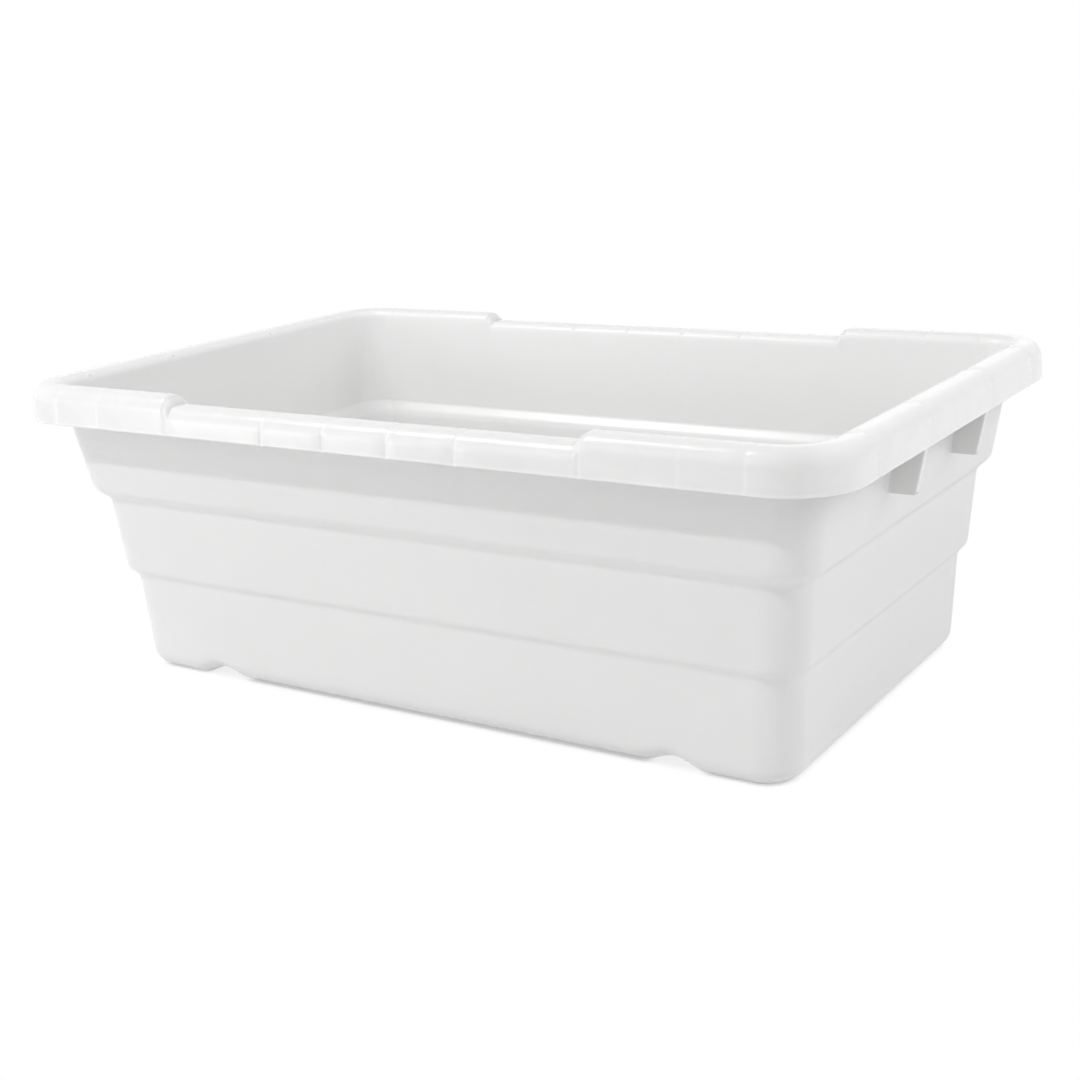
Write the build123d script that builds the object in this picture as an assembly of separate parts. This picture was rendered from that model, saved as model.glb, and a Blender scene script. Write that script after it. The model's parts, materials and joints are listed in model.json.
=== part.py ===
"""Cross-stacking meat lug: one open moulded tub, divided along its own features.

X runs along the length, Y across the width and Z up. Front is -Y and right is +X.
The origin is the centre of the footprint, on the surface that the lug stands on.
An inset is measured inwards from the lower outer edge of the rim's skirt.
"""
from build123d import *
import math
import os

os.makedirs("parts", exist_ok=True)

# Overall size over the rim, in millimetres
LENGTH = 638.0
WIDTH = 406.0
HEIGHT = 222.0

# Thicknesses
WALL = 3.6
FLOOR = 4.0
SKIRT_WALL = 3.2
RIB_WALL = 2.4
GUSSET_WALL = 4.0

# Rim: an inverted channel round the top, with a skirt outside and a short leg inside
SKIRT_DEPTH = 25.9
SKIRT_FLARE = 3.5  # degrees from upright
SKIRT_EDGE_RADIUS = 1.2
ROLL_RADIUS = 11.0
INNER_EDGE_RADIUS = 8.5
RIM_LEG = 8.0
RIM_OVERHANG = 19.4
RIM_CORNER_RADIUS = 44.4

# Lowered rails on the long sides, where a lug turned crosswise stands
RAIL_DROP = 6.5
RAMP_LENGTH = 9.0
STACK_CLEARANCE = 4.7

# Walls: three tiers with two sloping steps, and drafts in degrees
UPPER_DRAFT = 7.6
MIDDLE_DRAFT = 3.9
LOWER_DRAFT = 2.3
UPPER_STEP_HEIGHT = 133.6
UPPER_STEP_DEPTH = 7.6
LOWER_STEP_HEIGHT = 73.2
LOWER_STEP_DEPTH = 5.2
STEP_SLOPE = 45.0
STEP_RADIUS = 9.4
BASE_CORNER_RADIUS = 26.0
BASE_COVE_RADIUS = 13.5

# Base: the lug stands on its two end floors, and the centre floor is a little higher.
# The channels between them straddle the rails of a lug below.
CENTRE_RISE = 1.5
CHANNEL_DEPTH = 6.7
CHANNEL_FLAT = 9.0
CHANNEL_RAMP = 15.0
CHANNEL_RADIUS = 12.0

# Ribs under the rim and gussets beside the hand grips
RAIL_RIB_PITCH = 50.8
RAISED_RIB_SHARE = 0.55  # of the raised stretch between a ramp and a corner
SIDE_CORNER_RIB_INSET = 8.0  # before the corner starts to turn
END_CORNER_RIB_INSET = 17.0
RIB_RISE = 2.0
GUSSET_STATION = 56.0
GUSSET_DROP = 30.8
GUSSET_FOOT_INSET = 9.2
GUSSET_FOOT_RADIUS = 2.0

# Room left between a dividing plane and the nearest rounded corner
SPLIT_MARGIN = 3.0

# Heights and places that follow from the sizes above
skirt_height = HEIGHT - SKIRT_DEPTH
web_height = HEIGHT - WALL
root_radius = INNER_EDGE_RADIUS - WALL
joint_height = web_height - RIM_LEG
upper_edge_height = UPPER_STEP_HEIGHT + UPPER_STEP_DEPTH / math.tan(math.radians(STEP_SLOPE))
lower_edge_height = LOWER_STEP_HEIGHT + LOWER_STEP_DEPTH / math.tan(math.radians(STEP_SLOPE))
beyond = LENGTH + WIDTH + HEIGHT


def run(angle, rise):
    """Horizontal travel of a face that leans by an angle, over a rise."""
    return rise * math.tan(math.radians(angle))


upper_edge_inset = RIM_OVERHANG + run(UPPER_DRAFT, web_height - upper_edge_height)
middle_top_inset = upper_edge_inset + UPPER_STEP_DEPTH
lower_edge_inset = middle_top_inset + run(MIDDLE_DRAFT, UPPER_STEP_HEIGHT - lower_edge_height)
lower_top_inset = lower_edge_inset + LOWER_STEP_DEPTH
base_inset = lower_top_inset + run(LOWER_DRAFT, LOWER_STEP_HEIGHT)

# Each tier and step as an angle from upright and one point on its outer face
TIERS = (
    (UPPER_DRAFT, RIM_OVERHANG, web_height),
    (STEP_SLOPE, middle_top_inset, UPPER_STEP_HEIGHT),
    (MIDDLE_DRAFT, middle_top_inset, UPPER_STEP_HEIGHT),
    (STEP_SLOPE, lower_top_inset, LOWER_STEP_HEIGHT),
    (LOWER_DRAFT, base_inset, 0.0),
)


def tier_inset(tier, depth, height):
    """Inset of a tier's face at a height, measured depth below its outer skin."""
    angle, inset, at = tier
    return inset + run(angle, at - height) + depth / math.cos(math.radians(angle))


def wall_inset(height, depth=0.0):
    return tier_inset(TIERS[0], depth, height)


def step_levels(depth):
    """Heights and insets where neighbouring tiers meet, from the top down."""
    levels = []
    for upper, lower in zip(TIERS, TIERS[1:]):
        gap = tier_inset(lower, depth, 0.0) - tier_inset(upper, depth, 0.0)
        height = gap / (run(lower[0], 1.0) - run(upper[0], 1.0))
        levels.append((height, tier_inset(upper, depth, height)))
    return levels


joint_radius = RIM_CORNER_RADIUS - wall_inset(joint_height)
wall_section = wall_inset(0.0, WALL) - wall_inset(0.0)


def corner_radius(height):
    return BASE_CORNER_RADIUS + (joint_radius - BASE_CORNER_RADIUS) * height / joint_height


def stepped_block(depth, section, foot, top, cove):
    """The tub's stepped form as a full block, depth inside its outer skin."""
    corners = step_levels(depth)
    levels = [(top, wall_inset(top, depth))] + corners + [(foot, tier_inset(TIERS[-1], depth, foot))]
    sections = []
    for height, inset in levels:
        outline = RectangleRounded(LENGTH - 2 * inset, WIDTH - 2 * inset, corner_radius(height) - section)
        sections.append(Plane.XY.offset(height) * outline)
    block = loft(sections, ruled=True)
    for index, (height, inset) in enumerate(corners):
        turn = math.tan(math.radians(STEP_SLOPE) / 2)
        step = UPPER_STEP_DEPTH if index < 2 else LOWER_STEP_DEPTH
        slope_length = step / math.sin(math.radians(STEP_SLOPE))
        radius = min(STEP_RADIUS, slope_length / (2 * turn))
        radius = radius - depth if index % 2 == 0 else radius + depth
        block = fillet(block.edges().filter_by_position(Axis.Z, height, height), radius)
    return fillet(block.edges().filter_by_position(Axis.Z, foot, foot), cove)


# Rim profile, drawn with the inset to the right and the height upwards
def skirt_inset(height):
    return run(SKIRT_FLARE, height - skirt_height)


def rim_profile(top):
    under = top - WALL
    leg = under - RIM_LEG
    points = (
        (skirt_inset(skirt_height), skirt_height),
        (skirt_inset(top), top),
        (wall_inset(top, WALL), top),
        (wall_inset(leg, WALL), leg),
        (wall_inset(leg), leg),
        (wall_inset(under), under),
        (skirt_inset(under) + SKIRT_WALL, under),
        (SKIRT_WALL, skirt_height),
    )
    radii = (
        SKIRT_EDGE_RADIUS,
        ROLL_RADIUS,
        INNER_EDGE_RADIUS,
        0,
        0,
        root_radius,
        ROLL_RADIUS - SKIRT_WALL,
        SKIRT_EDGE_RADIUS,
    )
    return make_face(FilletPolyline(*points, radius=radii, close=True))


def web_profile(top, foot, foot_inset, foot_radius):
    """A plate that fills the rim's channel down to a foot."""
    under = top - WALL
    points = [
        (skirt_inset(under) + SKIRT_WALL, under),
        (wall_inset(under), under),
        (wall_inset(foot), foot),
        (foot_inset, foot),
    ]
    radii = [ROLL_RADIUS - SKIRT_WALL, root_radius, 0, foot_radius]
    if foot < skirt_height:
        points.append((SKIRT_WALL, skirt_height))
        radii.append(0)
    return make_face(FilletPolyline(*points, radius=radii, close=True))


def front_plane(x):
    return Plane(origin=(x, -WIDTH / 2, 0), x_dir=(0, 1, 0), z_dir=(1, 0, 0))


def right_plane(y):
    return Plane(origin=(LENGTH / 2, y, 0), x_dir=(-1, 0, 0), z_dir=(0, 1, 0))


# Lengths of the rim's stretches
rail_half = WIDTH / 2 - base_inset + STACK_CLEARANCE
ramp_end = rail_half + RAMP_LENGTH
rail_height = HEIGHT - RAIL_DROP
corner_x = LENGTH / 2 - RIM_CORNER_RADIUS
corner_y = WIDTH / 2 - RIM_CORNER_RADIUS
ramp_middle = rail_half + RAMP_LENGTH / 2
ramp_radius = (RAMP_LENGTH**2 + RAIL_DROP**2) / (2 * RAIL_DROP)


def rim_height(x):
    """Top of a long side's rim at a place along it: a ramp rounds over from the rail to full height."""
    short = min(max(ramp_end - abs(x), 0.0), RAMP_LENGTH)
    return HEIGHT - ramp_radius + math.sqrt(ramp_radius**2 - short**2)


# Stations along a ramp, with the two faces of its rib among them
rib_near = ramp_middle - RIB_WALL / 2
rib_far = ramp_middle + RIB_WALL / 2
ramp_stations = [rail_half + (rib_near - rail_half) * third / 3 for third in range(4)]
ramp_stations += [rib_far, (rib_far + ramp_end) / 2, ramp_end]

front_rail = extrude(front_plane(-rail_half) * rim_profile(rail_height), 2 * rail_half)
ramp_sections = [front_plane(x) * rim_profile(rim_height(x)) for x in ramp_stations]
right_ramp = loft(ramp_sections, ruled=True)
corner_run = extrude(ramp_sections[-1], corner_x - ramp_end)
corner_axis = Axis((corner_x, -corner_y, 0), (0, 0, 1))
corner_turn = revolve(front_plane(corner_x) * rim_profile(HEIGHT), corner_axis, 90)
rim_corner = corner_run + corner_turn
handle_rail = extrude(right_plane(-corner_y) * rim_profile(HEIGHT), 2 * corner_y)

# Channels under the floor, and the ridges that they raise inside
crown_inset = (skirt_inset(HEIGHT) + ROLL_RADIUS + wall_inset(HEIGHT, WALL) - INNER_EDGE_RADIUS) / 2
channel_x = WIDTH / 2 - crown_inset
channel_slope = math.atan2(CHANNEL_DEPTH, CHANNEL_RAMP)


def channel_bar(thickness):
    """A bar along Y with sloping sides, grown by a thickness."""
    spread = thickness * math.tan(channel_slope / 2)
    flat = CHANNEL_FLAT / 2 + spread
    roof = CHANNEL_DEPTH + thickness
    foot = -FLOOR
    reach = flat + (roof - foot) / math.tan(channel_slope)
    points = ((-reach, foot), (-flat, roof), (flat, roof), (reach, foot))
    radii = (0, CHANNEL_RADIUS, CHANNEL_RADIUS, 0)
    outline = make_face(FilletPolyline(*points, radius=radii, close=True))
    return extrude(Plane.XZ * outline, WIDTH / 2, both=True)


def centre_slab(low, high):
    return Pos(0, 0, (low + high) / 2) * Box(2 * channel_x, WIDTH, high - low)


outside = stepped_block(0.0, 0.0, 0.0, HEIGHT, BASE_COVE_RADIUS) - centre_slab(-FLOOR, CENTRE_RISE)
inside = stepped_block(WALL, wall_section, FLOOR, HEIGHT + WALL, BASE_COVE_RADIUS - FLOOR)
inside -= centre_slab(0, FLOOR + CENTRE_RISE)
for side in (-1, 1):
    outside -= Pos(side * channel_x, 0, 0) * channel_bar(0.0)
    inside -= Pos(side * channel_x, 0, 0) * channel_bar(FLOOR)
tub = outside - inside

# The floor ends where the cove begins, and the walls end under the rim
floor_inset = base_inset + BASE_COVE_RADIUS + SPLIT_MARGIN
floor_outline = RectangleRounded(
    LENGTH - 2 * floor_inset,
    WIDTH - 2 * floor_inset,
    BASE_CORNER_RADIUS - BASE_COVE_RADIUS,
)
floor_slab = extrude(floor_outline, CHANNEL_DEPTH + 2 * FLOOR)
floor_plate = tub & floor_slab
joint_line = [(x, rim_height(x) - WALL - RIM_LEG) for x in (*ramp_stations, beyond)]
rim_outline = Polyline(
    *[(-x, z) for x, z in reversed(joint_line)],
    *joint_line,
    (beyond, beyond),
    (-beyond, beyond),
    close=True,
)
rim_space = extrude(Plane.XZ * make_face(rim_outline), WIDTH, both=True)
wall_ring = tub - floor_slab - rim_space

panel_x = LENGTH / 2 - base_inset - BASE_CORNER_RADIUS - SPLIT_MARGIN
panel_y = WIDTH / 2 - base_inset - BASE_CORNER_RADIUS - SPLIT_MARGIN


def block(x_low, x_high, y_low, y_high):
    centre = Pos((x_low + x_high) / 2, (y_low + y_high) / 2, 0)
    return centre * Box(x_high - x_low, y_high - y_low, 2 * beyond)


front_wall = wall_ring & block(-panel_x, panel_x, -beyond, 0)
right_wall = wall_ring & block(0, beyond, -panel_y, panel_y)
corner_wall = wall_ring & block(panel_x, beyond, -beyond, -panel_y)

channel_half = CHANNEL_FLAT / 2 + CHANNEL_RAMP + SPLIT_MARGIN
centre_floor = floor_plate & block(channel_half - channel_x, channel_x - channel_half, -WIDTH, WIDTH)
right_channel = floor_plate & block(channel_x - channel_half, channel_x + channel_half, -WIDTH, WIDTH)
right_floor = floor_plate & block(channel_x + channel_half, beyond, -WIDTH, WIDTH)


# Ribs under the rim, and the deeper gussets on each side of a hand grip
rib_foot = skirt_height + RIB_RISE
rib_foot_inset = skirt_inset(rib_foot) + SKIRT_WALL


def side_rib(x):
    ends = []
    for station in (x - RIB_WALL / 2, x + RIB_WALL / 2):
        outline = web_profile(rim_height(station), rib_foot, rib_foot_inset, 0)
        ends.append(front_plane(station) * outline)
    return loft(ends, ruled=True)


def end_plate(y, thickness, foot, foot_inset, foot_radius):
    outline = web_profile(HEIGHT, foot, foot_inset, foot_radius)
    return extrude(right_plane(y - thickness / 2) * outline, thickness)


end_rib = end_plate(END_CORNER_RIB_INSET - corner_y, RIB_WALL, rib_foot, rib_foot_inset, 0)
gusset_foot = skirt_height - GUSSET_DROP
gusset = end_plate(-GUSSET_STATION, GUSSET_WALL, gusset_foot, GUSSET_FOOT_INSET, GUSSET_FOOT_RADIUS)


# Named nodes, with the left and back halves mirrored from the right and front ones
nodes = {"centre_floor": centre_floor}


def add_ends(name, piece):
    nodes["right_" + name] = piece
    nodes["left_" + name] = mirror(piece, about=Plane.YZ)


def add_sides(name, piece):
    nodes["front_" + name] = piece
    nodes["back_" + name] = mirror(piece, about=Plane.XZ)


def add_quarters(name, piece):
    nodes["front_right_" + name] = piece
    nodes["back_right_" + name] = mirror(piece, about=Plane.XZ)
    nodes["front_left_" + name] = mirror(piece, about=Plane.YZ)
    nodes["back_left_" + name] = Rot(0, 0, 180) * piece


add_ends("stacking_channel", right_channel)
add_ends("end_floor", right_floor)
add_sides("wall", front_wall)
add_ends("end_wall", right_wall)
add_quarters("corner_wall", corner_wall)
add_sides("stacking_rail", front_rail)
add_quarters("rim_ramp", right_ramp)
add_quarters("rim_corner", rim_corner)
add_ends("handle_rail", handle_rail)
add_quarters("handle_gusset", gusset)
add_quarters("end_rib", end_rib)
side_rib_stations = (
    RAIL_RIB_PITCH / 2,
    RAIL_RIB_PITCH * 3 / 2,
    ramp_middle,
    ramp_end + RAISED_RIB_SHARE * (corner_x - ramp_end),
    corner_x - SIDE_CORNER_RIB_INSET,
)
for number, station in enumerate(side_rib_stations, start=1):
    add_quarters(f"side_rib_{number}", side_rib(station))

for name, piece in nodes.items():
    export_step(piece, f"parts/{name}.step")
print(len(nodes), "nodes,", round(sum(piece.volume for piece in nodes.values()) / 1000), "cubic centimetres")
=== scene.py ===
# %% [markdown]
# # A meat lug in white polyethylene
# The lug is one open tub from one injection mould. Its walls rise in three tiers, and its rim is an
# upside-down channel with ribs hidden inside it. The CAD model gives the sizes, and this lesson
# models the same tub as one smooth skin, so that no joint shows where the plastic has none.

# %% Load the CAD model
import json
import math

import bmesh
import bpy
from mathutils import Matrix, Vector

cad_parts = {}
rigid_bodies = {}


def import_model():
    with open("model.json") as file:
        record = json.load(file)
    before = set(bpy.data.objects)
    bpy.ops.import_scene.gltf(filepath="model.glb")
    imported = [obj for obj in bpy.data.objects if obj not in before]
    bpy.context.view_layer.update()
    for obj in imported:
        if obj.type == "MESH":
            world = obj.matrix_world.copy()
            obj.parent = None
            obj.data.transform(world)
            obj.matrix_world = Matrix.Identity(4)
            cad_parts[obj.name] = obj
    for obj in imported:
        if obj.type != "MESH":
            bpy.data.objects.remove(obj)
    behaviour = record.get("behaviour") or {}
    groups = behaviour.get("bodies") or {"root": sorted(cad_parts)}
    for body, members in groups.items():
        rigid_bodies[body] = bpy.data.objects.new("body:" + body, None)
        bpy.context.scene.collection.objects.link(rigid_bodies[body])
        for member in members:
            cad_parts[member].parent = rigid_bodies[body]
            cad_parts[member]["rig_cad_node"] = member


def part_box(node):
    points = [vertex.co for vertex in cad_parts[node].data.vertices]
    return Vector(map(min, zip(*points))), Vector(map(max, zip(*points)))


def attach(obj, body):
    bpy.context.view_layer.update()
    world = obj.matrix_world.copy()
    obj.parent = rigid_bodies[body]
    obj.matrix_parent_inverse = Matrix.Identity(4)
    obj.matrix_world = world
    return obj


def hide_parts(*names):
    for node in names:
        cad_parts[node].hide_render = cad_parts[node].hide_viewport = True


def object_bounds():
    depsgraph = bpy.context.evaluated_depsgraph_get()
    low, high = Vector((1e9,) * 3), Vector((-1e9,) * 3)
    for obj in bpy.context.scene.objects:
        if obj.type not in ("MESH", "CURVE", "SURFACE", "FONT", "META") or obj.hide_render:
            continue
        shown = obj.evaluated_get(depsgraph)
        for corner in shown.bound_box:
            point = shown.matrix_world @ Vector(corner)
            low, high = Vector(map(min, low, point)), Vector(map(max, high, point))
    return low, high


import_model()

cad_low, cad_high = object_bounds()
print("CAD box in metres:", list(cad_low), list(cad_high))

# %% [markdown]
# Most sizes are read from the CAD nodes, so the skin follows them. Only the sizes that no box can
# give, such as drafts, walls and rounded edges, are written here. An inset is a distance inwards
# from the lower outer edge of the rim's skirt.

# %% Slopes
def slope(degrees):
    """How far a face leans for each metre that it rises."""
    return math.tan(math.radians(degrees))


SKIRT_FLARE = slope(3.5)
UPPER_DRAFT = slope(7.6)
MIDDLE_DRAFT = slope(3.9)
LOWER_DRAFT = slope(2.3)
STEP_SLOPE = 1
print("draft of the upper wall:", round(UPPER_DRAFT, 4))

# %% Sizes
# The lip's rounding takes its setback off the skirt, so the sharp edge lies outside the CAD box.
SKIRT_EDGE_RADIUS = 0.0012
LIP_SETBACK = SKIRT_EDGE_RADIUS * (SKIRT_FLARE + math.hypot(1, SKIRT_FLARE) - 1)

HALF_LENGTH = cad_high.x + LIP_SETBACK
HALF_WIDTH = cad_high.y + LIP_SETBACK
HEIGHT = cad_high.z
rail_low, rail_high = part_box("front_stacking_rail")
ramp_low, ramp_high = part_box("front_right_rim_ramp")
handle_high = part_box("right_handle_rail")[1]
channel_low, channel_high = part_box("right_stacking_channel")

SKIRT_HEIGHT = rail_low.z
RAIL_DROP = HEIGHT - rail_high.z
RIM_CORNER = HALF_WIDTH - handle_high.y
CHANNEL_CENTRE = (channel_low.x + channel_high.x) / 2
CENTRE_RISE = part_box("centre_floor")[0].z

WALL = 0.0036
FLOOR = 0.0040
SKIRT_WALL = 0.0032
RIM_OVERHANG = 0.0194
BASE_CORNER = 0.026
TOP_CORNER = RIM_CORNER - RIM_OVERHANG
CHANNEL_DEPTH = channel_high.z - FLOOR

UPPER_STEP = 0.0076
UPPER_STEP_HEIGHT = 0.1336
UPPER_STEP_TOP = UPPER_STEP_HEIGHT + UPPER_STEP
LOWER_STEP = 0.0052
LOWER_STEP_HEIGHT = 0.0732
LOWER_STEP_TOP = LOWER_STEP_HEIGHT + LOWER_STEP

ROLL_RADIUS = 0.011
INNER_EDGE_RADIUS = 0.0085
ROOT_RADIUS = 0.0049
COVE_RADIUS = 0.0135
STEP_RADIUS = 0.0088
print("rim corner", round(RIM_CORNER, 4), "rail drop", round(RAIL_DROP, 4))

# %% [markdown]
# The section through a long wall is a chain of straight legs with rounded corners, as a draughtsman
# would draw it. It could be traced point by point, but then no radius could be changed. Here each
# corner is one point with three numbers: its inset, its height, and the radius of the tub's own
# upright corner at that level, because a rounded tub is a stack of rounded rectangles.

# %% Corner points of the walls
web = HEIGHT - WALL


def wall_inset(height):
    """The inset of the upper wall's outer face."""
    return RIM_OVERHANG + (web - height) * UPPER_DRAFT


def outer_corner(height):
    return BASE_CORNER + (TOP_CORNER - BASE_CORNER) * height / web


def inner_corner(height):
    return outer_corner(height) - WALL


def wall_corners(depth, foot, upright):
    """The wall's corners, a depth inside its outer face, from the foot to the upper edge."""
    upper_inset = wall_inset(UPPER_STEP_TOP)
    middle_inset = upper_inset + UPPER_STEP
    lower_inset = middle_inset + (UPPER_STEP_HEIGHT - LOWER_STEP_TOP) * MIDDLE_DRAFT
    foot_inset = lower_inset + LOWER_STEP + LOWER_STEP_HEIGHT * LOWER_DRAFT
    edges = [
        (lower_inset + LOWER_STEP, LOWER_STEP_HEIGHT),
        (lower_inset, LOWER_STEP_TOP),
        (middle_inset, UPPER_STEP_HEIGHT),
        (upper_inset, UPPER_STEP_TOP),
    ]
    leans = (LOWER_DRAFT, STEP_SLOPE, MIDDLE_DRAFT, STEP_SLOPE, UPPER_DRAFT)
    angles = [math.atan(lean) for lean in leans]
    foot_inset = foot_inset + depth / math.cos(angles[0]) - foot * LOWER_DRAFT
    corners = [Vector((foot_inset, foot, upright(foot)))]
    for (inset, height), below, above in zip(edges, angles, angles[1:]):
        turn = (below + above) / 2
        shift = depth / math.cos((above - below) / 2)
        level = height + shift * math.sin(turn)
        corners.append(Vector((inset + shift * math.cos(turn), level, upright(level))))
    return corners


outer_wall = wall_corners(0, 0, outer_corner)
inner_wall = wall_corners(WALL, FLOOR, inner_corner)
print("corners of the wall:", len(outer_wall), "outside and", len(inner_wall), "inside")

# %% Join the floor, the walls and the rim into one profile
FLOOR_LEG = 0.020


def skirt_inset(height):
    """The inset of the skirt's outer face."""
    return (height - SKIRT_HEIGHT) * SKIRT_FLARE


def rim_point(inset, height):
    return Vector((inset, height, RIM_CORNER - inset))


def floor_point(corner):
    """The end of the floor leg, where only flat floor is left."""
    return corner + Vector((FLOOR_LEG, 0, -FLOOR_LEG))


top_inset = RIM_OVERHANG - WALL * UPPER_DRAFT + WALL / math.cos(math.atan(UPPER_DRAFT))
rim_profile = [
    (rim_point(RIM_OVERHANG, web), ROOT_RADIUS),
    (rim_point(skirt_inset(web) + SKIRT_WALL, web), ROLL_RADIUS - SKIRT_WALL),
    (rim_point(SKIRT_WALL, SKIRT_HEIGHT), SKIRT_EDGE_RADIUS),
    (rim_point(0, SKIRT_HEIGHT), SKIRT_EDGE_RADIUS),
    (rim_point(skirt_inset(HEIGHT), HEIGHT), ROLL_RADIUS),
    (rim_point(top_inset, HEIGHT), INNER_EDGE_RADIUS),
]
profile = [(floor_point(outer_wall[0]), 0), (outer_wall[0], COVE_RADIUS)]
profile += [(corner, STEP_RADIUS) for corner in outer_wall[1:]]
rim_start = len(profile)
profile += rim_profile
for number, corner in reversed(list(enumerate(inner_wall[1:]))):
    # A step's foot and top bend opposite ways, so the inner radius is larger at one of them.
    thicker = WALL if number % 2 == 0 else -WALL
    profile.append((corner, STEP_RADIUS + thicker))
profile += [(inner_wall[0], COVE_RADIUS - FLOOR), (floor_point(inner_wall[0]), 0)]
print("profile corners:", len(profile))

# %% [markdown]
# Each corner of the profile is then rounded. A bevel on the finished mesh would do it too, but the
# arc is worked out here first, so that every level of the tub is known before anything is built.

# %% Round the profile into levels
ARC_STEP = math.radians(9)
FEWEST_STEPS = 3


def round_corner(before, corner, after, radius):
    """The points of an arc between two legs of the profile."""
    first = before - corner
    second = after - corner
    first /= first.xy.length
    second /= second.xy.length
    turn = math.pi - first.xy.angle(second.xy)
    reach = radius * math.tan(turn / 2)
    middle = reach / (1 + first.xy.dot(second.xy))
    steps = max(FEWEST_STEPS, round(turn / ARC_STEP))
    arc = []
    for step in range(steps + 1):
        ahead = math.sin(turn * step / steps) / math.sin(turn)
        behind = math.sin(turn * (1 - step / steps)) / math.sin(turn)
        along_first = middle + behind * (reach - middle) - ahead * middle
        along_second = middle - behind * middle + ahead * (reach - middle)
        arc.append(corner + along_first * first + along_second * second)
    return arc


levels = [profile[0][0]]
arcs = []
for (before, _), (corner, radius), (after, _) in zip(profile, profile[1:], profile[2:]):
    arc = round_corner(before, corner, after, radius)
    arcs.append(range(len(levels), len(levels) + len(arc)))
    levels += arc
levels.append(profile[-1][0])
print("levels from the floor outside to the floor inside:", len(levels))

# %% [markdown]
# The tub is the same in all four quarters, so one quarter is modelled and mirrored twice. Every
# level starts as a plane at its own size and height. Three of its corners make an L, whose elbow is
# rounded with a vertex bevel, and each L is bridged to the one before it. Extruding one outline
# upwards would be quicker, but then the upright corners would all scale alike, and these don't.

# %% Helpers for selecting by place
NEAR = 0.00002


def deselect(mesh):
    for vertex in mesh.verts:
        vertex.select_set(False)
    mesh.select_flush_mode()


def choose(piece, test, among_selected=False):
    """In edit mode, select the vertices that pass a test, with the edges between them."""
    mesh = bmesh.from_edit_mesh(piece.data)
    mesh.normal_update()
    chosen = [v for v in mesh.verts if (v.select or not among_selected) and test(v)]
    deselect(mesh)
    for vertex in chosen:
        vertex.select_set(True)
    mesh.select_flush_mode()
    bmesh.update_edit_mesh(piece.data)


def choose_at(piece, place):
    """In edit mode, select the vertex at a place."""
    choose(piece, lambda v: (v.co - place).length < NEAR)


def choose_faces(piece, test):
    """In edit mode, select the faces whose middle passes a test."""
    mesh = bmesh.from_edit_mesh(piece.data)
    deselect(mesh)
    for face in mesh.faces:
        if test(face.calc_center_median()):
            face.select_set(True)
    bmesh.update_edit_mesh(piece.data)


# %% Bridge the levels into one quarter of the tub
CORNER_STEPS = 14


def on_level(place, level):
    """Whether a place is on the rounded outline of a level."""
    inset, height, upright = level
    past_x = max(place.x - (HALF_LENGTH - inset - upright), 0)
    past_y = max(-place.y - (HALF_WIDTH - inset - upright), 0)
    return abs(place.z - height) < NEAR and abs(math.hypot(past_x, past_y) - upright) < NEAR


def add_level(piece, level, closed):
    """Add a level's outline, as a face where it closes the floor and as a bare L elsewhere."""
    inset, height, upright = level
    across = HALF_LENGTH - inset
    deep = HALF_WIDTH - inset
    bpy.ops.mesh.primitive_plane_add(size=1, location=(across / 2, -deep / 2, height))
    bpy.ops.transform.resize(value=(across, deep, 1))
    if not closed:
        choose(piece, lambda v: v.co.xy.length < NEAR, among_selected=True)
        bpy.ops.mesh.delete(type="VERT")
    choose_at(piece, Vector((across, -deep, height)))
    bpy.ops.mesh.bevel(offset=upright, segments=CORNER_STEPS, affect="VERTICES")


bpy.ops.object.select_all(action="DESELECT")
bpy.ops.mesh.primitive_plane_add(size=1)
lug = bpy.context.object
lug.name = "lug_moulding"
bpy.ops.object.mode_set(mode="EDIT")
bpy.ops.mesh.delete(type="VERT")
for number, level in enumerate(levels):
    add_level(lug, level, closed=number in (0, len(levels) - 1))
    if number:
        pair = levels[number - 1:number + 1]
        choose(lug, lambda v: on_level(v.co, pair[0]) or on_level(v.co, pair[1]))
        bpy.ops.mesh.bridge_edge_loops()
bpy.ops.mesh.select_all(action="SELECT")
bpy.ops.mesh.normals_make_consistent(inside=False)
print("faces in a quarter:", len(bmesh.from_edit_mesh(lug.data).faces))

# %% [markdown]
# A tub turned crosswise stands on the long sides' lowered rails. On the real mould the raised rim
# rounds over at each end of a rail and drops to it. The quarter is cut across at close stations
# along that arc, and each cut is then moved down its share. The wall side of the rim slides down the
# wall's own slope and the skirt side down the skirt's, so both stay flat below.

# %% Lower the rail between the ramps
X_AXIS, Y_AXIS, Z_AXIS = range(3)
RAMP_CUTS = 11


def cut_across(piece, stations, axis, test):
    """Cut the faces that pass a test, square to an axis, at each station."""
    normal = Vector((0, 0, 0))
    normal[axis] = 1
    for station in stations:
        choose_faces(piece, test)
        bpy.ops.mesh.bisect(plane_co=normal * station, plane_no=normal)


def at_station(place, station, wanted):
    """Whether a place is at a station along the front, on one of the wanted levels."""
    if abs(place.x - station) > NEAR:
        return False
    inset = place.y + HALF_WIDTH
    return any(abs(inset - level.x) < NEAR and abs(place.z - level.y) < NEAR for level in wanted)


def spread(low, high, count):
    return [low + (high - low) * number / count for number in range(count + 1)]


ramp_length = ramp_high.x - ramp_low.x
ramp_radius = (ramp_length**2 + RAIL_DROP**2) / (2 * RAIL_DROP)
ramp = {}
for angle in spread(0, math.asin(ramp_length / ramp_radius), RAMP_CUTS):
    ramp[ramp_high.x - ramp_radius * math.sin(angle)] = ramp_radius * (1 - math.cos(angle))
long_side = HALF_WIDTH - 2 * RIM_CORNER
cut_across(lug, ramp, X_AXIS, lambda at: at.z > UPPER_STEP_HEIGHT and at.y < -long_side)

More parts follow.
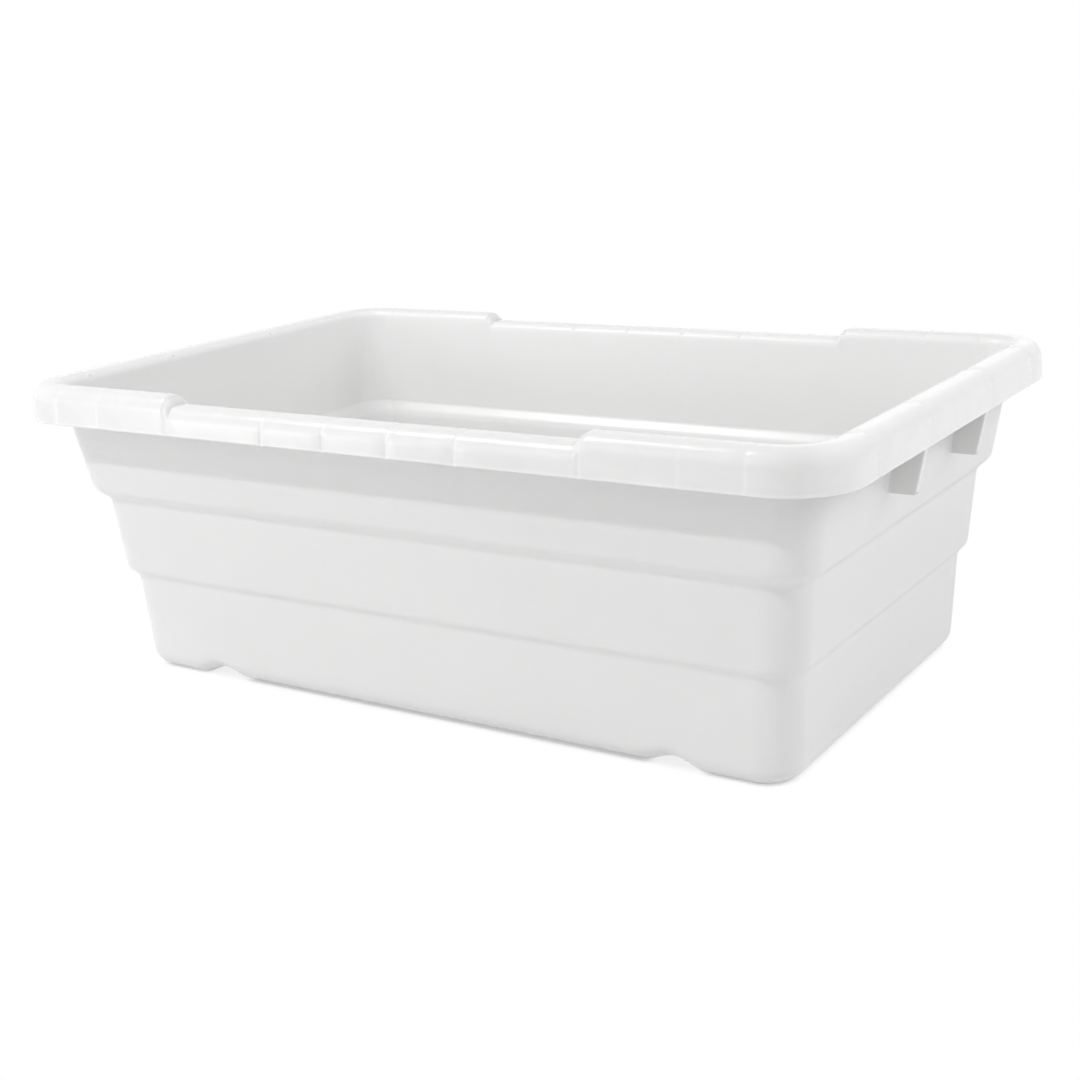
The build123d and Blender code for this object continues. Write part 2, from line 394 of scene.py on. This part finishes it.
# The profile's first point has no arc, so an arc's number is one less than its corner's.
rim_arcs = arcs[rim_start - 1:rim_start - 1 + len(rim_profile)]
root, inner_roll, _, _, roll, inner_edge = rim_arcs
wall_side = [*root, *inner_edge]
skirt_side = [*inner_roll, *roll]
for station, drop in [(0, RAIL_DROP), *ramp.items()]:
    for side, lean in ((wall_side, UPPER_DRAFT), (skirt_side, -SKIRT_FLARE)):
        moved = [levels[number] for number in side]
        choose(lug, lambda v: at_station(v.co, station, moved))
        bpy.ops.transform.translate(value=(0, drop * lean, -drop))
print("rail lowered by", round(RAIL_DROP, 4))

# %% [markdown]
# Under the floor two channels straddle the rails of a tub below, and the two end floors stand a
# little lower than the centre. The same way serves: cuts along each channel's sloping sides, then
# each cut is lifted, with the cove at the foot of the wall carried along. The ridge that shows
# inside is wider than the channel below it, so that the floor keeps its thickness on the slopes.

# %% Lift the channels and the centre of the floor
CHANNEL_FLAT = 0.009
CHANNEL_RAMP = 0.015
CHANNEL_EASE = 0.16
CHANNEL_CUTS = 36
RIDGE_SPARE = FLOOR / 3


def eased(share):
    """A straight climb from 0 to 1, rounded at both ends."""
    if share > 0.5:
        return 1 - eased(1 - share)
    if share > CHANNEL_EASE:
        return share
    return max(share + CHANNEL_EASE, 0) ** 2 / (4 * CHANNEL_EASE)


def floor_lift(station, spare):
    """How far the floor stands above the end floors, with a ridge wider by a spare."""
    away = abs(station - CHANNEL_CENTRE) - CHANNEL_FLAT / 2 - spare
    rest = CENTRE_RISE if station < CHANNEL_CENTRE else 0
    return CHANNEL_DEPTH + (rest - CHANNEL_DEPTH) * eased(away / CHANNEL_RAMP)


reach = CHANNEL_FLAT / 2 + CHANNEL_RAMP * (1 + CHANNEL_EASE) + RIDGE_SPARE
channel_stations = spread(CHANNEL_CENTRE - reach, CHANNEL_CENTRE + reach, CHANNEL_CUTS)
cut_across(lug, channel_stations, X_AXIS, lambda at: at.z < LOWER_STEP_HEIGHT)
outer_cove = [levels[0], *(levels[number] for number in arcs[0])]
inner_cove = [levels[-1], *(levels[number] for number in arcs[-1])]
for station in [0, *channel_stations]:
    for cove, spare in ((outer_cove, 0), (inner_cove, RIDGE_SPARE)):
        lift = floor_lift(station, spare)
        choose(lug, lambda v: at_station(v.co, station, cove))
        bpy.ops.transform.translate(value=(0, -lift * LOWER_DRAFT, lift))
        choose_at(lug, Vector((station, 0, cove[0].y)))
        bpy.ops.transform.translate(value=(0, 0, lift))
print("channels lifted by", round(CHANNEL_DEPTH, 4))

# %% [markdown]
# Where a rib meets the back of a thin wall, the thicker plastic cools last and pulls the face in. The
# rim shows such a sink mark over every rib: a line down the skirt, over the roll and a little way
# down inside, and some marks are plainer than others. Bump in the finish could hint at it, but a real
# dent also holds in the mesh, so each mark is five cuts, pushed in the more the nearer they are to
# the rib.

# %% A sink mark
MARK_HALF = 0.0022
MARK_DEPTH = 0.0006
MARK_SPACES = 4
MARK_FOOT = HEIGHT - 0.022
SIDEWAYS = 0.3
UPWARDS = 0.4


def sink_mark(piece, axis, station, outward, strength):
    """Dent the outside of the rim along one rib, on the side that faces outward."""
    side = HALF_WIDTH if axis == X_AXIS else HALF_LENGTH

    def on_skin(vertex):
        """Whether a vertex is on the skirt's outside, the roll or the inner edge."""
        inset = side - vertex.co.dot(outward)
        facing = vertex.normal.dot(outward)
        if inset < RIM_OVERHANG / 2 and facing > SIDEWAYS:
            return vertex.co.z > SKIRT_HEIGHT + SKIRT_EDGE_RADIUS / 2
        inside = axis == X_AXIS and inset > RIM_OVERHANG and facing < -SIDEWAYS
        on_rim = vertex.co.z > MARK_FOOT + NEAR and inset < RIM_CORNER
        return on_rim and (inside or vertex.normal.z > UPWARDS)

    def on_this_side(at):
        return at.z > SKIRT_HEIGHT and at.dot(outward) > side - RIM_CORNER

    shares = spread(-1, 1, MARK_SPACES)
    cuts = [station + share * MARK_HALF for share in shares]
    cut_across(piece, cuts, axis, on_this_side)
    for share, cut in zip(shares, cuts):
        choose(piece, lambda v: abs(v.co[axis] - cut) < NEAR and on_skin(v))
        bpy.ops.transform.shrink_fatten(value=MARK_DEPTH * strength * (abs(share) - 1))


# %% Sink marks over the ribs and gussets
# The ribs' strengths go from the middle of a long side to its corner.
RIB_STRENGTHS = (1, 1, 0.7, 0.25, 0.45)
RIB_COUNT = len(RIB_STRENGTHS)
END_STRENGTH = 1
FRONT = Vector((0, -1, 0))
RIGHT = Vector((1, 0, 0))


def middle_of(node):
    low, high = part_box(node)
    return (low + high) / 2


side_stations = {}
for number, strength in enumerate(RIB_STRENGTHS, start=1):
    side_stations[middle_of(f"front_right_side_rib_{number}").x] = strength
end_stations = {}
for kind in ("end_rib", "handle_gusset"):
    end_stations[abs(middle_of(f"front_right_{kind}").y)] = END_STRENGTH
cut_across(lug, [MARK_FOOT], Z_AXIS, lambda at: at.z > UPPER_STEP_HEIGHT)
for station, strength in side_stations.items():
    sink_mark(lug, X_AXIS, station, FRONT, strength)
for station, strength in end_stations.items():
    sink_mark(lug, Y_AXIS, -station, RIGHT, strength)
print("sink marks in a quarter:", len(side_stations) + len(end_stations))

# %% [markdown]
# The quarter becomes the whole tub. Copying and turning it would leave the seams to be joined by
# hand, while a Mirror modifier across both middles joins them as it goes. The normals are then made
# to point outwards, and weighted by the size of the faces, so that the flat walls shade flat.

# %% Mirror the quarter twice and close it
CM3_PER_M3 = 1e6

bpy.ops.object.mode_set(mode="OBJECT")
bpy.ops.object.modifier_add(type="MIRROR")
mirror = lug.modifiers[-1]
mirror.use_axis = (True, True, False)
mirror.merge_threshold = NEAR
bpy.ops.object.modifier_apply(modifier=mirror.name)
bpy.ops.object.mode_set(mode="EDIT")
bpy.ops.mesh.select_all(action="SELECT")
bpy.ops.mesh.remove_doubles(threshold=NEAR / 2)
bpy.ops.mesh.normals_make_consistent(inside=False)
bpy.ops.object.mode_set(mode="OBJECT")
bpy.ops.object.transform_apply(location=True, rotation=True, scale=True)
bpy.ops.object.shade_smooth()
bpy.ops.object.modifier_add(type="WEIGHTED_NORMAL")
bpy.ops.object.modifier_apply(modifier=lug.modifiers[-1].name)
mesh = bmesh.new()
mesh.from_mesh(lug.data)
open_edges = sum(len(edge.link_faces) != 2 for edge in mesh.edges)
print("lug faces:", len(mesh.faces), "open edges:", open_edges)
print("volume in cm3:", mesh.calc_volume() * CM3_PER_M3)
mesh.free()

# %% Let the moulding stand for its CAD nodes
QUARTERS = ("front_right", "back_right", "front_left", "back_left")
SIDES = ("front", "back")
ENDS = ("right", "left")

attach(lug, "root")
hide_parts("centre_floor")
for end in ENDS:
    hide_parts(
        f"{end}_stacking_channel", f"{end}_end_floor", f"{end}_end_wall", f"{end}_handle_rail"
    )
for side in SIDES:
    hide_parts(f"{side}_wall", f"{side}_stacking_rail")
for quarter in QUARTERS:
    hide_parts(f"{quarter}_corner_wall", f"{quarter}_rim_corner", f"{quarter}_rim_ramp")
print("the moulding is", lug.name)

# %% [markdown]
# Ribs tie the skirt to the wall inside the rim's channel, and beside each hand grip a deeper gusset
# shows below the skirt. They are thin plates. Each kind is drawn once as an outline, from one vertex
# extruded round its corners, then filled, given its thickness and softened along every edge. The
# copies go where the CAD nodes are. The outline runs into the skin, as the real plate is one with it.

# %% Draw a plate from its corners
UP = Vector((0, 0, 1))
PLATE_EDGE = 0.0006
PLATE_EDGE_STEPS = 3
PLATE_CORNER_STEPS = 6


def add_plate(outward, half, corners, thickness):
    """A plate square to the wall, from corners of inset, height and radius."""
    places = [outward * (half - inset) + UP * height for inset, height, _ in corners]
    along = outward.cross(UP)
    to_face = along * thickness / 2
    bpy.ops.object.select_all(action="DESELECT")
    bpy.ops.mesh.primitive_plane_add(size=PLATE_EDGE, location=places[0] - to_face)
    plate = bpy.context.object
    bpy.ops.object.transform_apply(location=True, rotation=True, scale=True)
    bpy.ops.object.mode_set(mode="EDIT")
    bpy.ops.mesh.merge(type="CENTER")
    for before, after in zip(places, places[1:]):
        bpy.ops.mesh.extrude_region_move(TRANSFORM_OT_translate={"value": after - before})
    bpy.ops.mesh.select_all(action="SELECT")
    bpy.ops.mesh.edge_face_add()
    for place, (_, _, radius) in zip(places, corners):
        if radius:
            choose_at(plate, place - to_face)
            bpy.ops.mesh.bevel(offset=radius, segments=PLATE_CORNER_STEPS, affect="VERTICES")
    bpy.ops.mesh.select_all(action="SELECT")
    bpy.ops.mesh.extrude_region_move(TRANSFORM_OT_translate={"value": along * thickness})
    bpy.ops.mesh.select_all(action="SELECT")
    bpy.ops.mesh.normals_make_consistent(inside=False)
    bpy.ops.mesh.bevel(offset=PLATE_EDGE, segments=PLATE_EDGE_STEPS, affect="EDGES")
    bpy.ops.object.mode_set(mode="OBJECT")
    bpy.ops.object.shade_smooth()
    return plate


# %% Copy a plate to its four quarters
def place_plate(plate, kind, axis):
    """Copy a plate to each quarter's node of its kind, moved along an axis, then drop the first one."""
    far_side = "back" if axis == X_AXIS else "left"
    for quarter in QUARTERS:
        node = f"{quarter}_{kind}"
        bpy.ops.object.select_all(action="DESELECT")
        plate.select_set(True)
        bpy.context.view_layer.objects.active = plate
        bpy.ops.object.duplicate()
        copy = bpy.context.object
        copy.name = f"{node}_plate"
        if far_side in quarter:
            bpy.ops.transform.rotate(value=math.pi, orient_axis="Z", center_override=(0, 0, 0))
        shift = Vector((0, 0, 0))
        shift[axis] = middle_of(node)[axis]
        bpy.ops.transform.translate(value=shift)
        bpy.ops.object.transform_apply(location=True, rotation=True, scale=True)
        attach(copy, "root")
        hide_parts(node)
    bpy.data.objects.remove(plate)


# %% Gussets beside the hand grips
GUSSET_FOOT_INSET = 0.0092
GUSSET_FOOT_RADIUS = 0.002
gusset_low, gusset_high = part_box("front_right_handle_gusset")
middle_top = HEIGHT - WALL / 2
inner_roll_radius = ROLL_RADIUS - SKIRT_WALL / 2
gusset_corners = [
    (wall_inset(gusset_low.z) + WALL / 2, gusset_low.z, 0),
    (wall_inset(middle_top) + WALL / 2, middle_top, 0),
    (skirt_inset(middle_top) + SKIRT_WALL / 2, middle_top, inner_roll_radius),
    (SKIRT_WALL, SKIRT_HEIGHT, 0),
    (GUSSET_FOOT_INSET, gusset_low.z, GUSSET_FOOT_RADIUS),
]
gusset = add_plate(RIGHT, HALF_LENGTH, gusset_corners, gusset_high.y - gusset_low.y)
place_plate(gusset, "handle_gusset", Y_AXIS)
print("gussets:", len(QUARTERS))

# %% Ribs inside the rim
def rib_corners(node):
    """A rib's outline under the rim's top, at the height that its CAD node has."""
    low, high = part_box(node)
    top = high.z + WALL / 2
    return [
        (wall_inset(low.z) + WALL / 2, low.z, 0),
        (wall_inset(top) + WALL / 2, top, 0),
        (skirt_inset(top) + SKIRT_WALL / 2, top, inner_roll_radius),
        (skirt_inset(low.z) + SKIRT_WALL / 2, low.z, 0),
    ]


rib_low, rib_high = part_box("front_right_end_rib")
rib_wall = rib_high.y - rib_low.y
end_rib = add_plate(RIGHT, HALF_LENGTH, rib_corners("front_right_end_rib"), rib_wall)
place_plate(end_rib, "end_rib", Y_AXIS)
for number in range(1, RIB_COUNT + 1):
    corners = rib_corners(f"front_right_side_rib_{number}")
    side_rib = add_plate(FRONT, HALF_WIDTH, corners, rib_wall)
    place_plate(side_rib, f"side_rib_{number}", X_AXIS)
print("ribs:", len(QUARTERS) * (RIB_COUNT + 1))

# %% [markdown]
# Shader maths reads better as sums than as a web of links. This small class stands for one socket, and
# each plus, minus or times on it adds a Math node.

# %% A socket that takes part in sums
class Socket:
    def __init__(self, tree, output=None):
        self.tree = tree
        self.output = output

    def node(self, kind, settings=None, inputs=None, output=0):
        """Add a node with its settings first, then the values or links of its sockets."""
        new = self.tree.nodes.new(kind)
        for name, value in (settings or {}).items():
            setattr(new, name, value)
        for name, value in (inputs or {}).items():
            if isinstance(value, Socket):
                self.tree.links.new(value.output, new.inputs[name])
            else:
                new.inputs[name].default_value = value
        return Socket(self.tree, new.outputs[output] if new.outputs else None)

    def maths(self, operation, first, second=0):
        return self.node("ShaderNodeMath", {"operation": operation}, {0: first, 1: second})

    def __abs__(self):
        return self.maths("ABSOLUTE", self)

    def __add__(self, other):
        return self.maths("ADD", self, other)

    def __sub__(self, other):
        return self.maths("SUBTRACT", self, other)

    def __rsub__(self, other):
        return self.maths("SUBTRACT", other, self)

    def __mul__(self, other):
        return self.maths("MULTIPLY", self, other)

    __radd__ = __add__
    __rmul__ = __mul__


# %% Helpers for masks and patterns
def new_tree(owner):
    owner.use_nodes = True
    owner.node_tree.nodes.clear()
    return Socket(owner.node_tree)


def coordinate(at, axis):
    return at.node("ShaderNodeSeparateXYZ", {}, {0: at}, output=axis)


def rise(value, span):
    """0 below a span, 1 above it and smooth between."""
    low, high = span
    inputs = {"Value": value, "From Min": low, "From Max": high}
    return value.node("ShaderNodeMapRange", {"interpolation_type": "SMOOTHSTEP"}, inputs)


def fall(value, span):
    """1 below a span, 0 above it and smooth between."""
    return 1 - rise(value, span)


def noise(at, scale, detail, distortion=0.0, stretch=(1, 1, 1)):
    """Noise from -1 to 1, in cycles a metre, stretched along an axis."""
    place = at.node("ShaderNodeMapping", {}, {"Vector": at, "Scale": stretch})
    inputs = {"Vector": place, "Scale": scale, "Detail": detail, "Distortion": distortion}
    return at.node("ShaderNodeTexNoise", {}, inputs) * 2 - 1


def outside_of(at, half_length, half_width):
    """How far a place is outside an upright rectangle round the middle."""
    past = []
    for axis, half in (("X", half_length), ("Y", half_width)):
        past.append(at.maths("MAXIMUM", abs(coordinate(at, axis)) - half, 0))
    return at.maths("SQRT", past[0] * past[0] + past[1] * past[1])


# %% [markdown]
# The moulding isn't the same all over. The thin rim has a smoother face, and the light it lets
# through is painted into its colour: lighter ends, clouds, and a painted highlight over each rib
# and along its edges. Painted shade darkens the gussets, a painted highlight lines their free edges,
# and painted light brightens the tops of the inner walls. The ledge inside is smooth too. Each place
# could have a material of its own, but then a hard border would show. Instead each is a mask that
# fades, worked out from a point's height and its inset, or its depth inside the wall's outer face.

# %% Masks on the rim
RIM_FOOT = (SKIRT_HEIGHT - 0.001, SKIRT_HEIGHT + 0.001)
RIM_INSIDE = (0.014, 0.024)
PAINTED_LIGHT_RIM_END = (HALF_LENGTH - 0.024, HALF_LENGTH - 0.008)
SKIRT_INSIDE = (0.003, 0.010)
LIP_HIGHLIGHT_TOP = (SKIRT_HEIGHT + 0.001, SKIRT_HEIGHT + 0.003)
EDGE_FOOT = (HEIGHT - 0.016, HEIGHT - 0.010)
EDGE_HIGHLIGHT_START = (0.0185, 0.0205)
EDGE_HIGHLIGHT_END = (0.0215, 0.0235)
EDGE_GLOSS_END = (0.0205, 0.0245)
DENT_REACH = 0.009


def over_ribs(at, reach):
    """A line over each rib and gusset, that fades to 0 at a reach on each side."""
    lines = 0
    for axis, stations in (("X", side_stations), ("Y", end_stations)):
        out = abs(coordinate(at, axis))
        for station, strength in stations.items():
            lines = lines + strength * fall(abs(out - station), (0, reach))
    return lines


def rim_masks(at, height, inset):
    """Painted light on the rim's ends, in its clouds, over the ribs and on its edges; its ripples,
    dents and gloss.
    """
    rim = rise(height, RIM_FOOT) * fall(inset, RIM_INSIDE)
    skirt = rim * fall(inset, SKIRT_INSIDE)
    edge = rise(height, EDGE_FOOT)
    return {
        "rim ends painted lighter": rim * rise(abs(coordinate(at, "X")), PAINTED_LIGHT_RIM_END),
        "rim mottle of painted light": rim * noise(at, scale=42, detail=4, distortion=0.8),
        "rim ripple": rim * noise(at, scale=24, detail=1),
        "painted rib highlights": skirt * over_ribs(at, MARK_HALF),
        "rib dents": rim * over_ribs(at, DENT_REACH),
        "lip": rim * fall(height, LIP_HIGHLIGHT_TOP),
        "inner edge": edge * rise(inset, EDGE_HIGHLIGHT_START) * fall(inset, EDGE_HIGHLIGHT_END),
        "gloss": at.maths("MAXIMUM", rim, edge * fall(inset, EDGE_GLOSS_END)),
    }


# %% Masks on the walls and the gussets
GUSSET_SLOPE = (GUSSET_FOOT_INSET - SKIRT_WALL) / (SKIRT_HEIGHT - gusset_low.z)
GUSSET_TOP = (SKIRT_HEIGHT - 0.002, SKIRT_HEIGHT)
GUSSET_ROOT = (-0.002, -0.0005)
GUSSET_HIGHLIGHT_EDGE = (0.0005, 0.0013)
INNER_FACE = (0.001, 0.003)
INNER_HEIGHT = (UPPER_STEP_HEIGHT + 0.01, HEIGHT - 0.015)
LEDGE_FACE = (0.0015, 0.003)
LEDGE_SLOPE = (UPPER_STEP_TOP + 0.002, UPPER_STEP_TOP + 0.0035)
LEDGE_FOOT = (UPPER_STEP_HEIGHT - 0.003, UPPER_STEP_HEIGHT)
LEDGE_TOP = (UPPER_STEP_TOP + 0.002, UPPER_STEP_TOP + 0.006)


def wall_masks(at, height, inset):
    """Painted shade on the gussets and light on their free edges and the inner face's top; the ledge
    inside.
    """
    corner = RIM_CORNER + UPPER_DRAFT * (web - height)
    depth = TOP_CORNER - outside_of(at, HALF_LENGTH - corner, HALF_WIDTH - corner)
    gussets = fall(height, GUSSET_TOP) * fall(depth, GUSSET_ROOT)
    from_edge = inset - SKIRT_WALL - GUSSET_SLOPE * (SKIRT_HEIGHT - height)
    ledge = rise(depth, LEDGE_FACE) * rise(depth + height, LEDGE_SLOPE)
    return {
        "gussets": gussets,
        "gusset edges painted lighter": gussets * fall(from_edge, GUSSET_HIGHLIGHT_EDGE),
        "inner top painted lighter": rise(depth, INNER_FACE) * rise(height, INNER_HEIGHT),
        "ledge": ledge * rise(height, LEDGE_FOOT) * fall(height, LEDGE_TOP),
    }


# %% [markdown]
# White polyethylene is a little waxy: light goes a few millimetres in before it comes out. The wall
# looks even and soft. The thin rim, lit through from above, looks cloudy, and those clouds of light
# are painted into its colour. The tint is close to neutral white. Clouds, faint flow streaks and a
# fine grain from the mould keep it from being flat. A painted image could hold all that, but noise
# needs no unwrapping and is as fine near as far.

# %% Patterns all over, and how much each pattern and mask counts
PLASTIC_TONE = 0.86
LIGHTEST_TONE = 0.97
BLUE_SHARE = 0.996
TONES_AND_PAINTED_LIGHT = {
    "clouds": 0.008,
    "streaks": 0.005,
    # painted light: the rim's ends are painted lighter, for light let through the thin rim there
    "rim ends painted lighter": 0.09,
    # painted light: clouds of light and shade let through the thin rim are painted into its colour
    "rim mottle of painted light": 0.04,
    # painted highlight: a paler line over each rib, where the thicker plastic behind sends more light
    # back
    "painted rib highlights": 0.07,
    # painted highlight: a pale line along the skirt's lower edge
    "lip": 0.05,
    # painted highlight: a pale line along the rim's inner edge
    "inner edge": 0.05,
    # painted light: the inner walls are painted lighter towards their top
    "inner top painted lighter": 0.055,
    # painted shade: the gussets under the rim are painted darker
    "gussets": -0.06,
    # painted highlight: the free edges of the gussets are painted lighter
    "gusset edges painted lighter": 0.16,
}
PLASTIC_ROUGHNESS = 0.36
ROUGHNESSES = {"gloss": -0.14, "ledge": -0.13, "clouds": 0.04, "speckle": 0.03}
RELIEFS = {"fine grain": 0.00002, "grain": 0.00003, "rim ripple": 0.00016, "rib dents": -0.00035}


def patterns(at):
    return {
        "clouds": noise(at, scale=9, detail=3),
        "streaks": noise(at, scale=1, detail=3, stretch=(60, 60, 6)),
        "speckle": noise(at, scale=300, detail=2),
        "grain": noise(at, scale=130, detail=2),
        "fine grain": noise(at, scale=900, detail=2),
    }


def add_up(base, amounts, masks):
    """A base value, with each amount added where its mask is."""
    total = base
    for name, amount in amounts.items():
        total = total + amount * masks[name]
    return total


# %% White polyethylene
def white_polyethylene():
    material = bpy.data.materials.new("waxy_white_polyethylene")
    start = new_tree(material)
    at = start.node("ShaderNodeTexCoord", output="Object")
    height = coordinate(at, "Z")
    inset = RIM_CORNER - outside_of(at, HALF_LENGTH - RIM_CORNER, HALF_WIDTH - RIM_CORNER)
    masks = {**patterns(at), **rim_masks(at, height, inset), **wall_masks(at, height, inset)}
    tone = at.maths("MINIMUM", add_up(PLASTIC_TONE, TONES_AND_PAINTED_LIGHT, masks), LIGHTEST_TONE)
    colour = at.node("ShaderNodeCombineColor", {}, {0: tone, 1: tone, 2: tone * BLUE_SHARE})
    relief = add_up(0, RELIEFS, masks)
    bump = at.node("ShaderNodeBump", {}, {"Strength": 1.0, "Distance": 1.0, "Height": relief})
    surface = at.node("ShaderNodeBsdfPrincipled", {}, {
        "Base Color": colour,
        "Roughness": add_up(PLASTIC_ROUGHNESS, ROUGHNESSES, masks),
        "Normal": bump,
        "IOR": 1.5,
        "Specular IOR Level": 0.5,
        "Subsurface Weight": 0.2,
        "Subsurface Radius": (1.0, 1.0, 1.0),
        "Subsurface Scale": 0.0012,
    })
    at.node("ShaderNodeOutputMaterial", {}, {"Surface": surface})
    return material


plastic = white_polyethylene()
for piece in bpy.data.objects:
    if piece.type == "MESH" and "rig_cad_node" not in piece:
        piece.data.materials.clear()
        piece.data.materials.append(plastic)
print("finish:", plastic.name)

# %% [markdown]
# The stage is a wide white floor that meets a white surround. To the camera the floor turns from lit
# paper under the lug into plain white at its foot, so that the picture's ground stays white and the
# lug still stands in its own thin shadow, which is fainter under the open channels. A plain lit
# floor would be greyer than the surround and show its far edge.

# %% Ground
GROUND_SIZE = 40
GROUND_GAP = 0.0002
PAPER = (0.9, 0.9, 0.9, 1)
WHITE = (1, 1, 1, 1)
SHADOW_SHARE = 0.6
SHADOW_FADE = (-0.010, -0.002)
CHANNEL_SHARE = 0.3
CHANNEL_SIDE = (0.016, 0.026)


def seen_directly(start):
    """1 for rays from the camera, a gloss or a clear piece, and 0 for the light that bounces."""
    seen = start.node("ShaderNodeLightPath", output="Is Camera Ray")
    for name in ("Is Glossy Ray", "Is Transmission Ray"):
        seen = seen.maths("MAXIMUM", seen, start.node("ShaderNodeLightPath", output=name))
    return seen


def white_ground():
    material = bpy.data.materials.new("white_ground")
    start = new_tree(material)
    at = start.node("ShaderNodeTexCoord", output="Object")
    foot_inset, _, foot_corner = outer_wall[0]
    foot_reach = foot_inset + foot_corner
    outside = outside_of(at, HALF_LENGTH - foot_reach, HALF_WIDTH - foot_reach) - foot_corner
    off_channel = abs(abs(coordinate(at, "X")) - CHANNEL_CENTRE)
    under_floor = CHANNEL_SHARE + (1 - CHANNEL_SHARE) * rise(off_channel, CHANNEL_SIDE)
    shadow = SHADOW_SHARE * under_floor * fall(outside, SHADOW_FADE)
    factor = seen_directly(start) * (1 - shadow)
    paper = start.node("ShaderNodeBsdfDiffuse", {}, {"Color": PAPER})
    glow = start.node("ShaderNodeEmission", {}, {"Color": WHITE, "Strength": 1.0})
    mixed = start.node("ShaderNodeMixShader", {}, {0: factor, 1: paper, 2: glow})
    start.node("ShaderNodeOutputMaterial", {}, {"Surface": mixed})
    return material


bpy.ops.object.select_all(action="DESELECT")
bpy.ops.mesh.primitive_plane_add(size=GROUND_SIZE, location=(0, 0, -GROUND_GAP))
ground = bpy.context.object
ground.name = "ground"
ground.data.materials.append(white_ground())
print("ground across, in metres:", GROUND_SIZE)

# %% Surround
AMBIENT = 0.405

world = bpy.data.worlds.new("white_surround")
bpy.context.scene.world = world
start = new_tree(world)
dim = start.node("ShaderNodeBackground", {}, {"Color": WHITE, "Strength": AMBIENT})
white = start.node("ShaderNodeBackground", {}, {"Color": WHITE, "Strength": 1.0})
mixed = start.node("ShaderNodeMixShader", {}, {0: seen_directly(start), 1: dim, 2: white})
start.node("ShaderNodeOutputWorld", {}, {"Surface": mixed})
print("light from the surround:", AMBIENT)

# %% [markdown]
# A small key lamp high in front gives the rim's shadow on the front wall. Broad boxes on the left,
# above, on the right and behind light what the key doesn't reach. The panels are weak and there for
# their reflections: one whitens the left half of the front rail, one draws the bright streak along
# the roll, and one touches the rim of the far end. Lamps that should only light the lug are hidden
# from its gloss.

# %% Lamps
def add_lamp(name, azimuth, elevation, distance, width, height, power, mirrored=True):
    """A lamp that faces the lug, from an azimuth round it and an elevation, in degrees."""
    azimuth = math.radians(azimuth)
    elevation = math.radians(elevation)
    aim = Vector((0, 0, HEIGHT / 2))
    away = Vector((
        math.sin(azimuth) * math.cos(elevation),
        -math.cos(azimuth) * math.cos(elevation),
        math.sin(elevation),
    ))
    bpy.ops.object.light_add(type="AREA", location=aim + away * distance)
    lamp = bpy.context.object
    lamp.name = name
    lamp.rotation_euler = away.to_track_quat("Z", "Y").to_euler()
    lamp.data.shape = "RECTANGLE"
    lamp.data.size = width
    lamp.data.size_y = height
    lamp.data.energy = power
    lamp.visible_glossy = mirrored


add_lamp("key_lamp", -17, 47.7, distance=2.4, width=0.08, height=0.08, power=13.1, mirrored=False)
add_lamp("left_box", -80, 11, distance=1.7, width=1.1, height=0.8, power=1.9, mirrored=False)
add_lamp("top_box", -66.5, 57.5, distance=2.1, width=0.4, height=0.7, power=8.3)
add_lamp("right_box", 80, 34, distance=2.2, width=1.2, height=0.9, power=7.3, mirrored=False)
add_lamp("back_box", 125, 27, distance=2.2, width=1.2, height=0.9, power=8.0, mirrored=False)
add_lamp("end_panel", -170, 18, distance=2.0, width=0.9, height=0.6, power=0.45)
add_lamp("rail_panel", -39.9, 6.4, distance=1.7, width=0.4, height=0.58, power=2.7)
add_lamp("roll_panel", -31, 27.5, distance=1.8, width=0.85, height=0.6, power=1.1)
add_lamp("back_fill", -165, 12, distance=2.2, width=1.2, height=0.8, power=6, mirrored=False)
print("lamps:", len(bpy.data.lights))

# %% [markdown]
# The camera stands to the right of the front and looks a little down, as measured on the photograph
# with the rim's edges. It is a short telephoto view with a slight roll, and the picture was cut from
# a larger one, so the lens is shifted.

# %% Camera
IMAGE_SIZE = 1080
FOCAL_PIXELS = 1590.59
SENSOR = 36.0
CAMERA_PLACE = Vector((0.63074, -0.94621, 0.41323))
CAMERA_AZIMUTH = math.radians(32.667)
CAMERA_ELEVATION = math.radians(19.131)
CAMERA_ROLL = math.radians(-2.825)
SHIFT_PIXELS = (-32, 86)

bpy.ops.object.camera_add()
camera = bpy.context.object
camera.name = "photo_camera"
camera.data.sensor_width = SENSOR
camera.data.lens = FOCAL_PIXELS / IMAGE_SIZE * SENSOR
camera.data.shift_x = SHIFT_PIXELS[0] / IMAGE_SIZE
camera.data.shift_y = SHIFT_PIXELS[1] / IMAGE_SIZE
heading = Matrix.Rotation(CAMERA_AZIMUTH, 4, "Z")
tilt = Matrix.Rotation(math.pi / 2 - CAMERA_ELEVATION, 4, "X")
roll_turn = Matrix.Rotation(CAMERA_ROLL, 4, "Z")
camera.matrix_world = Matrix.Translation(CAMERA_PLACE) @ heading @ tilt @ roll_turn
bpy.context.scene.camera = camera
bpy.context.scene.view_settings.view_transform = "Standard"
print("lens in millimetres:", round(camera.data.lens, 2))
